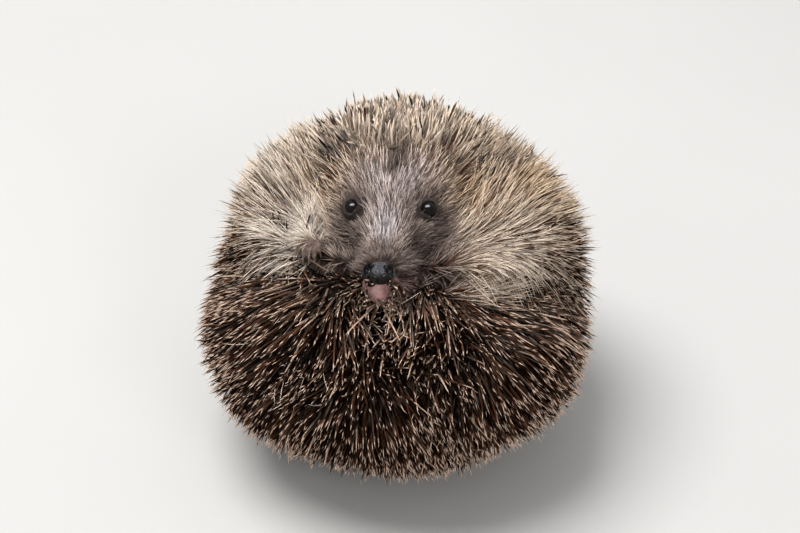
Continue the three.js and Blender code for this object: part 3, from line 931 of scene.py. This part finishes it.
def wander(p, scale, amount):
    """A slowly changing vector, so that neighbours lean together."""
    phases = np.array([[0.3, 1.7, 4.1], [2.2, 0.4, 5.0], [3.9, 2.8, 1.1]])
    turned = p / scale
    waves = [np.sin(turned @ np.array(k) + ph) for k, ph in zip(
        ([0.9, 0.5, -0.3], [-0.4, 1.0, 0.6], [0.5, -0.7, 0.9]), phases.sum(1))]
    more = [np.sin(turned @ np.array(k) * 2.3 + ph) * 0.5 for k, ph in zip(
        ([0.2, -0.9, 0.7], [0.8, 0.3, -0.6], [-0.6, 0.5, 0.8]), phases[0])]
    return amount * (np.stack(waves, 1) + np.stack(more, 1))


def reach(root, way, radius):
    """How long a strand must be for its tip to be `radius` from the curl's centre."""
    b = dot(root, way)
    return np.sqrt(np.maximum(b * b - dot(root, root) + radius ** 2, 0)) - b


def tufts(p, way, length, spacing, pull, share):
    """Strands of one tuft lean to its tip, and its tone makes up `share` of theirs."""
    heads = thin_out(p, spacing)
    tree = KDTree(len(heads))
    for i, q in enumerate(p[heads]):
        tree.insert(q, i)
    tree.balance()
    mine = np.array([tree.find(q)[1] for q in p])
    lead = heads[mine]
    to_tip = p[lead] + way[lead] * length[lead][:, None] - p
    way = unit(way * (1 - pull) + unit(to_tip) * pull)
    return way, rng.random(len(heads))[mine] * share + rng.random(len(p)) * (1 - share)


def clear_of_eyes(root, way, length):
    """Hairs that would lie across an eye stop short of it."""
    for eye in EYES.values():
        nearest = np.clip(dot(eye - root, way), 0, length)
        gap = np.linalg.norm(root + way * nearest[:, None] - eye, axis=1)
        length = np.where(gap < EYE_RADIUS + 0.9, np.maximum(nearest - 3.4, 1.0), length)
    return length


def keep_off_floor(root, way, length, clearance=0.9):
    """Spines that would go through the floor lie along it instead."""
    up = -FLOOR_WAY
    root_height = root @ up + CENTRE_HEIGHT
    rise = way @ up
    least = (clearance + rng.random(len(root)) * 2.0 - root_height) / length
    low = rise < least
    flat = way - up * rise[:, None]
    size = np.linalg.norm(flat, axis=1)
    outward = root - up * (root @ up)[:, None]
    flat = np.where(size[:, None] < 0.2, unit(outward), flat / np.maximum(size, 1e-6)[:, None])
    rest = np.sqrt(np.clip(1 - least ** 2, 0, 1))
    laid = flat * rest[:, None] + up * least[:, None]
    return np.where(low[:, None], laid, way), low


def strands(name, material, hairs, which, sides, knots, profile):
    """Tapered solid strands, each one closed, in pieces of under 200,000 triangles."""
    knots, profile = np.array(knots), np.array(profile)
    tris = sides * 2 * (len(knots) - 1) + sides + sides - 2
    which = np.flatnonzero(which)
    parts = max(1, math.ceil(len(which) * tris / 195000))
    for part, pick in enumerate(np.array_split(which, parts)):
        way, normal, length = hairs["way"][pick], hairs["normal"][pick], hairs["length"][pick]
        count = len(pick)
        steps = np.concatenate([knots, [1.0]])
        line = ((hairs["root"][pick] - normal * 0.6)[:, None] + way[:, None] * (length[:, None] * steps)[:, :, None]
                + hairs["bend"][pick][:, None] * (length[:, None] * steps ** 2)[:, :, None])
        side = unit(np.cross(way, normal + [0.01, 0.02, 0.03]))
        other = unit(np.cross(way, side))
        angle = (rng.random(count) * 2 * math.pi)[:, None] + np.arange(sides) * 2 * math.pi / sides
        ring = np.cos(angle)[:, :, None] * side[:, None] + np.sin(angle)[:, :, None] * other[:, None]
        body = line[:, :-1, None] + ring[:, None] * (hairs["radius"][pick][:, None] * profile)[:, :, None, None]
        rings = len(knots)
        each = rings * sides + 1
        points = np.concatenate([body.reshape(count, -1, 3), line[:, -1:]], 1)
        base = np.arange(count)[:, None] * each
        j = np.arange(sides)
        nxt = (j + 1) % sides
        k = np.arange(rings - 1)[:, None] * sides
        quad = np.stack([k + j, k + nxt, k + sides + nxt, k + sides + j], -1).reshape(-1, 4)
        tip = np.stack([(rings - 1) * sides + j, (rings - 1) * sides + nxt, np.full(sides, rings * sides)], -1)
        cap = j[::-1][None]
        groups = [(base[:, :, None] + g[None]).reshape(-1, g.shape[1]) for g in (quad, tip, cap)]
        if sides == 3:
            groups = [groups[0], np.concatenate(groups[1:])]
        obj = mesh_object(f"{name}_{part + 1}" if parts > 1 else name, points.reshape(-1, 3), groups)
        s = np.concatenate([np.repeat(knots, sides), [1.0]])
        u = np.concatenate([np.tile(j / sides, rings), [0.5]]) - 0.5
        set_float(obj.data, "along", np.tile(s, count))
        set_float(obj.data, "tone", np.repeat(hairs["tone"][pick], each))
        set_float(obj.data, "dark", np.repeat(hairs["dark"][pick], each))
        set_colour(obj.data, "coat", np.repeat(hairs["colour"][pick], each, axis=0))
        patch = np.stack([u, s - 0.5], 1) * 0.003
        at = (hairs["uv"][pick][:, None] + patch[None]).reshape(-1, 2)
        set_uv(obj.data, np.clip(at, 0, 1)[np.concatenate([g.ravel() for g in groups])])
        obj.data.materials.append(material)
        ride(obj)


FLESH = ("head", "neck", "shoulder_left", "shoulder_right", "upper_back", "lower_back", "rump", "belly", "tail",
         "foreleg_left", "foreleg_right", "hindleg_left", "hindleg_right", "ear_left", "ear_right", "lower_jaw")


def ride(obj):
    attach(obj, "root")


# ---- The coat --------------------------------------------------------------------------------------------------------
def zones(p):
    """How far each root is in the spines, the pale flank quills and the fur, each from 0 to 1."""
    direction = unit(p)
    above = above_crease(direction)
    x, y, z = p.T
    upper = smoothstep(above, -0.02, 0.04)
    hairline = y - 0.10 * np.abs(x) + 0.25 * (30 - z)
    beside = smoothstep(np.abs(x), 26, 36)
    crown = smoothstep(hairline, 47, 53) * (1 - beside)
    behind = smoothstep(-z, -14, 18)
    rump = smoothstep(-above, 0.02, 0.05) * (1 - 0.75 * strip(p))
    mixed = 0.6 * mixing(p)
    spiny = np.max([crown, behind, rump, mixed], axis=0)
    quills = smoothstep(spininess(direction), 0.30, 0.62) * upper * (1 - spiny) + strip(p)
    fur = upper * (1 - smoothstep(hairline, 51, 60) * (1 - beside)) * (1 - behind) * (1 - 0.7 * mixing(p))
    fur = np.max([fur, strip(p), blob(p, MOUTH + [9, 1.5, -5], [3.6, 3.6, 7])], axis=0)
    return spiny, quills, fur


def mixing(p):
    """Where the flanks' pale quills give way to banded spines, by the crease's two ends."""
    above = above_crease(unit(p))
    beside = smoothstep(np.abs(p[:, 0]), 28, 50) * (1 - smoothstep(p[:, 2], 34, 48))
    return beside * (1 - smoothstep(above, 0.08, 0.36)) * (above > 0)


def whitest(p):
    """1 in the middle of the right flank's white patch."""
    return blob(p, [-34, 19, 42], [10, 10, 18])


def no_hair(p):
    """1 where the skin stays bare: lids, lips, nose and toes, and a spot beside the foot."""
    bare = np.zeros(len(p))
    for eye in EYES.values():
        bare = np.maximum(bare, np.linalg.norm(p - eye, axis=1) < 4.0)
    off = p - MOUTH
    lips = (chin_sdf(p) < 0.6) & (np.abs(off[:, 0] + 0.6) < 5.2 + 0.4 * off[:, 1]) & (off[:, 1] > -4.2)
    bare = np.maximum(bare, lips)
    bare = np.maximum(bare, np.linalg.norm(p - NOSE, axis=1) < 3.9)
    toes = (foot_sdf(p) < 0.4) & (dot(p - ANKLE, TOES_ON) > 0.4)
    # bare, so that the painted shadow in the hollow beside the foot shows
    hollow = blob(p, ANKLE + [6.0, -3.5, 0], [3.6, 3.6, 8.0]) > 0.45
    return np.maximum(bare, toes | hollow)


def scattered(skin, density, spacing=0.0):
    root, normal, uv = skin.scatter(lambda p: density(p) * (1 - no_hair(p)), spacing)
    return {"root": root, "normal": normal, "uv": uv}


def jitter(count, amount):
    return rng.normal(0, amount, (count, 3))


def make_spines(skin):
    # 0.6: how light the spines stay at the root, under their painted shade
    material = spine_material("spine_horn", 0.42, 0.6, 0.25)
    hairs = scattered(skin, lambda p: 1.7 * zones(p)[0], 1.3)
    p, normal = hairs["root"], hairs["normal"]
    count = len(p)
    above = above_crease(unit(p))
    crowned = smoothstep(above, 0.2, 0.42) * smoothstep(p[:, 2], -36, 2)
    crown = rng.random(count) < crowned
    near_edge = smoothstep(above, -0.42, 0.0) * (above < 0.05)
    hairline = crowned * smoothstep(p[:, 2], 6, 26)
    # by the crease the spines stand out from the curl's centre, not across the crease
    stand = unit(mix(normal, unit(p), near_edge[:, None]))
    lean = 0.20 + 0.40 * near_edge + 0.75 * hairline + rng.normal(0, 0.15, count)
    lean += 0.4 * smoothstep(np.abs(p[:, 0]), 20, 45) * (above < 0)
    lean -= 0.5 * smoothstep(above, -0.10, -0.03) * smoothstep(p[:, 2], 10, 30)
    lean -= 0.9 * blob(p, MOUTH + [0, -6, -6], [8, 4.5, 10])
    way = unit(stand + lie(p, stand) * lean[:, None] + wander(p, 7.5, 0.28) + jitter(count, 0.21))
    tip = unit(p + way * 14)
    target = coat_radius(tip) - 1.6 + 0.8 * crowned + rng.normal(0, 1.1, count) * (1 + 0.7 * crowned)
    # under the chin their tips are longer and paler
    chin = blob(p, MOUTH + [0, -8, -10], [9, 6, 14])
    target += 1.5 * chin
    length = np.clip(reach(p, way, target), 9.5 + rng.normal(0, 1, count), 22)
    # none stands in front of the nose
    length *= 1 - 0.6 * blob(p + way * length[:, None], NOSE + [0, -0.5, 3], [6.5, 5.5, 10])
    way, low = keep_off_floor(p, way, length)
    bend = lie(p, normal) * rng.normal(0.02, 0.04, count)[:, None] + jitter(count, 0.03)
    bend[low] = 0
    tone = rng.random(count)
    pale = rng.random(count) < 0.03 + 0.14 * near_edge * (1 - 0.8 * smoothstep(-p[:, 0], 15, 35))
    dark = np.where(pale, 0.25, rng.normal(1.03, 0.07, count) - 0.10 * near_edge - 0.6 * chin)
    banded = rng.normal(0.27, 0.42, count) + 0.3 * (1 - smoothstep(p[:, 2], -4, 14))
    hairs.update(way=way, length=length, bend=bend, tone=tone, radius=mix(0.35, 0.44, crowned) * rng.normal(1, 0.13, count),
                 dark=np.clip(np.where(crown, banded, dark), 0, 1),
                 colour=paint(np.tile(RUMP_TIP, (count, 1)), CREAM, np.where(crown, 0.9, 0.4 * rng.random(count))))
    area = np.where(crowned > 0.5, 0, np.where(above > -0.05, 1, np.where(p[:, 2] < -20, 2, 3)))
    for index, name in enumerate(("spines_crown", "spines_back", "spines_under", "spines_rump")):
        strands(name, material, hairs, area == index, 5, [0, 0.2, 0.5, 0.74, 0.9],
                [0.5, 0.85, 1.0, 0.74, 0.36])


def make_quills(skin):
    """The thinner, paler spines and stiff hair of the flanks."""
    # 0.08: the quills' roots are painted near black, as the shade between them
    material = spine_material("quill_horn", 0.5, 0.08, 0.10)
    hairs = scattered(skin, lambda p: 2.2 * zones(p)[1], 1.05)
    p, normal = hairs["root"], hairs["normal"]
    count = len(p)
    combed = (1 - 0.6 * np.maximum(hanging(p), strip(p)))[:, None]
    lean = 0.95 + 0.8 * hanging(p) + rng.normal(0, 0.15, count)
    way = unit(normal + lie(p, normal) * lean[:, None] + (wander(p, 7, 0.13) + jitter(count, 0.13)) * combed)
    target = coat_radius(unit(p + way * 12)) - 0.2 + rng.normal(0, 1.8, count)
    length = np.clip(reach(p, way, target), 9.0, 22)
    way, tone = tufts(p, way, length, 1.9, 0.25, 0.4)
    tone = mix(1.0, tone, 0.5 + 0.5 * combed[:, 0])
    way, low = keep_off_floor(p, way, length)
    bend = lie(p, normal) * rng.normal(0.06, 0.05, count)[:, None] + jitter(count, 0.04)
    streaks = blob(p, [-58, 18, 18], [14, 14, 25]) + blob(p, [52, 12, 28], [14, 12, 25])
    back = 0.8 * smoothstep(-p[:, 2], -12, 14)
    hairs.update(way=way, length=length, bend=bend, tone=tone, radius=rng.normal(0.25, 0.03, count),
                 dark=np.clip(rng.random(count) * 1.6 - 0.7 + mixing(p) - strip(p) + 1.2 * streaks + back
                              - 0.6 * whitest(p), 0, 1),
                 colour=paint(coat_colour(p), PALE, 0.4 * rng.random(count)))
    for name, here in (("quills_flank_right", p[:, 0] < 0), ("quills_flank_left", p[:, 0] >= 0)):
        strands(name, material, hairs, here, 4, [0, 0.3, 0.7, 0.9], [0.8, 1.0, 0.75, 0.4])


def make_fur(skin, name, rates, reach_out, thickness, shade):
    """A layer of fur: `rates` per mm2 on flanks and face, scaled in length and thickness, and darkened by `shade` on
    face and flanks as painted shade down in the coat.
    """
    material = hair_material(name, 0.5)

    def density(p):
        spiny, quills, fur = zones(p)
        back = HEAD_LINE.place(p)[:, 0]
        rate = mix(rates[0], rates[1], 1 - smoothstep(back, 20, 42)) * (2.4 - 1.4 * smoothstep(back, 6, 14))
        return rate * fur * 1.0

    hairs = scattered(skin, density)
    p, normal = hairs["root"], hairs["normal"]
    count = len(p)
    back, aside, above = HEAD_LINE.place(p).T
    direction = unit(p)
    flank = smoothstep(spininess(direction), 0.05, 0.55)
    base = np.interp(back, [0, 5, 14, 27, 38, 55], [1.8, 3.0, 5.0, 8.0, 11.5, 14.5])
    length = mix(base, 15.5, flank) * reach_out * rng.normal(1, 0.14, count)
    for side, eye in EYES.items():
        length = length * (1 - 0.6 * blob(p, eye, 6.0)) * mix(0.22, 1.0, smoothstep(ear_sdf(p, side), 0.5, 1.2))
    room = np.maximum(coat_radius(direction) - np.linalg.norm(p, axis=1), 0)
    length = np.clip(length, 1.2, np.maximum(room * 1.8, 3.0) + 4.0)
    lean = mix(1.9, 1.1, flank) + rng.normal(0, 0.25, count)
    combed = (1 - 0.6 * np.maximum(hanging(p), strip(p)))[:, None]
    lean += 0.8 * hanging(p)
    loose = mix(0.24, 0.16, flank)[:, None]
    way = unit(normal + lie(p, normal) * lean[:, None] + (wander(p, 6, 0.16) + jitter(count, 1.0) * loose) * combed)
    way, tone = tufts(p, way, length, 1.2, 0.22, 0.4)
    tone = mix(1.0, tone, 0.5 + 0.5 * combed[:, 0])
    length = clear_of_eyes(p, way, length)
    way, low = keep_off_floor(p, way, length)
    # `shade` darkens the layer, browner on the flanks: painted shade under the top fur, less in the white patch
    hairs.update(way=way, length=length, tone=tone, bend=-normal * 0.08 + jitter(count, 0.12) * combed,
                 radius=mix(0.11, 0.18, smoothstep(length, 3, 12)) * thickness * rng.normal(1, 0.1, count),
                 dark=np.clip(rng.random(count) * 1.5 - 0.85 - 0.4 * whitest(p), 0, 0.7),
                 colour=coat_colour(p) * mix(mix(np.array(shade[0]), np.array(shade[1]), flank[:, None]), 1,
                                             0.75 * whitest(p)[:, None]))
    head = flank < 0.12
    for part, slot, here in (("face", "face", head), ("flank_right", "ruff", ~head & (p[:, 0] < 0)),
                             ("flank_left", "ruff", ~head & (p[:, 0] >= 0))):
        strands(f"{name}_{part}", material, hairs, here, 3, [0, 0.35, 0.7], [1.0, 0.85, 0.5])


def make_strays(skin):
    """A few long pale hairs that curl over the rump's spines."""
    def density(p):
        low = smoothstep(-above_crease(unit(p)), 0.2, 0.3) * (p[:, 2] > 32)
        return low * mix(0.001, 0.006, smoothstep(-p[:, 0], 5, 25))

    hairs = scattered(skin, density)
    p, normal = hairs["root"], hairs["normal"]
    count = len(p)
    way = unit(normal * 1.1 + lie(p, normal) * 0.3 + jitter(count, 0.3))
    turn = unit(np.cross(way, jitter(count, 1.0)))
    length = reach(p, way, coat_radius(unit(p))) * 1.1
    hairs.update(way=way, length=length, tone=np.ones(count), radius=np.full(count, 0.2), dark=np.zeros(count),
                 bend=turn * rng.normal(0.45, 0.1, count)[:, None] - normal * 0.15,
                 colour=np.tile(CREAM, (count, 1)))
    strands("stray_hairs", hair_material("stray_hair", 0.45), hairs, np.ones(count, bool), 4,
            [0, 0.2, 0.4, 0.55, 0.7, 0.85], [1.0, 1.0, 0.95, 0.85, 0.7, 0.45])


# ---- Eyes, nose and claws ----------------------------------------------------------------------------------------------
def make_eyes():
    material = eye_material()
    for side, centre in EYES.items():
        out, across, up = eye_frame(side)
        bm = bmesh.new()
        bmesh.ops.create_icosphere(bm, subdivisions=5, radius=1)
        q = np.array([v.co for v in bm.verts])
        faces = np.array([[v.index for v in f.verts] for f in bm.faces])
        bm.free()
        q[:, 2] += 0.05 * np.clip(q[:, 2], 0, 1) ** 3
        points = centre + (q * EYE_RADIUS) @ np.stack([across, up, out])
        obj = mesh_object(f"eyeball_{side}", points, faces)
        obj.data.materials.append(material)
        unwrap(obj)
        ride(obj)
        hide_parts(f"eye_{side}")


NOSTRIL = ([2.7, 3.2, 1.5], [3.75, 2.0, 2.0], [4.1, 0.3, 2.3])


def nostril_sdf(x, y, z, out=0.0, sizes=(0.95, 1.3, 0.8)):
    """A crescent that opens to the front and the side, or the wing round it."""
    q = np.stack([np.abs(x), y, z], 1)
    a, b, c = (np.array(place) + [out, -0.2 * out, -0.7 * out] for place in NOSTRIL)
    return smooth_min(capsule(q, a, b, sizes[0], sizes[1]), capsule(q, b, c, sizes[1], sizes[2]), 0.4)


def nose_sdf(q):
    """In the nose's own frame: X across, Y up, Z forward."""
    x, y, z = q.T
    d = ellipsoid(np.stack([x, y + 0.2, z], 1), [4.7, 4.1, 4.4])
    d = smooth_min(d, nostril_sdf(x, y, z, 0.85, (0.8, 0.9, 0.8)), 0.6)
    d = smooth_max(d, -nostril_sdf(x, y, z + 0.25), 0.35)
    groove = np.hypot(x / 0.28, (z - 4.2) / 0.8) - 1 + np.maximum(y + 0.8, 0)
    return smooth_max(d, -groove * 0.28, 0.3)


def make_nose():
    points, quads = surface(nose_sdf, [-7, -5.5, -5.5], [7, 5.5, 6], 0.2)
    points = settle(nose_sdf, points, 2)
    x, y, z = points.T
    pit = 1 - smoothstep(nostril_sdf(x, y, z), 0.1, 0.5)
    top = smoothstep(y, 1.2, 3.0) * (1 - smoothstep(np.abs(x), 1.8, 3.0))
    # paler rims outside the nostrils: a painted highlight
    wing = 0.8 * smoothstep(np.abs(x), 4.3, 4.9) * smoothstep(y, -1.5, 0.2)
    across = HEAD_LINE.across[2]
    obj = mesh_object("nose_pad", NOSE + points @ np.stack([across, MUZZLE_UP, MUZZLE_ON]), quads)
    set_float(obj.data, "top", np.maximum(top, wing) * (1 - pit))
    obj.data.materials.append(nose_material())
    unwrap(obj)
    ride(obj)
    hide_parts("nose")


def make_claws():
    rings, sides = 9, 10
    points, quads, tips = [], [], []
    for i in range(5):
        _, middle, tip = toe(i)
        way = unit(tip - middle)
        line = [tip - way * 0.6 + way * 3.4 * t - np.array([0, 0, 1.3]) * t * t for t in np.linspace(0, 1, rings)]
        side = unit(np.cross(way, [0, 0, 1]))
        other = np.cross(side, way)
        start = len(points)
        for k, centre in enumerate(line[:-1]):
            r = 0.62 * (1 - k / (rings - 1)) ** 0.7
            for j in range(sides):
                a = 2 * math.pi * j / sides
                points.append(centre + r * (0.75 * math.cos(a) * side + math.sin(a) * other))
        points.append(line[-1])
        for k in range(rings - 2):
            for j in range(sides):
                n = (j + 1) % sides
                quads.append([start + k * sides + j, start + k * sides + n, start + (k + 1) * sides + n,
                              start + (k + 1) * sides + j])
        last = start + (rings - 2) * sides
        tips += [[last + j, last + (j + 1) % sides, len(points) - 1] for j in range(sides)]
        tips += [[start, start + j + 1, start + j] for j in range(1, sides - 1)]
    obj = mesh_object("claws_right_forefoot", np.array(points), [np.array(quads), np.array(tips)])
    obj.data.materials.append(claw_material())
    unwrap(obj)
    ride(obj)


# ---- Assembly ------------------------------------------------------------------------------------------------------------
make_camera()
make_stage()
body = make_skin()
ride(body)
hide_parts(*FLESH)
make_eyes()
make_nose()
make_claws()
skin = Skin(body)
make_spines(skin)
make_quills(skin)
# the underfur is painted dark, as the shade under the top fur
make_fur(skin, "underfur", (0.55, 3.6), 0.75, 0.9, ([0.27, 0.24, 0.23], [0.24, 0.14, 0.085]))
make_fur(skin, "fur", (0.42, 2.2), 1.05, 1.3, ([1, 1, 1], [1, 1, 1]))
make_strays(skin)
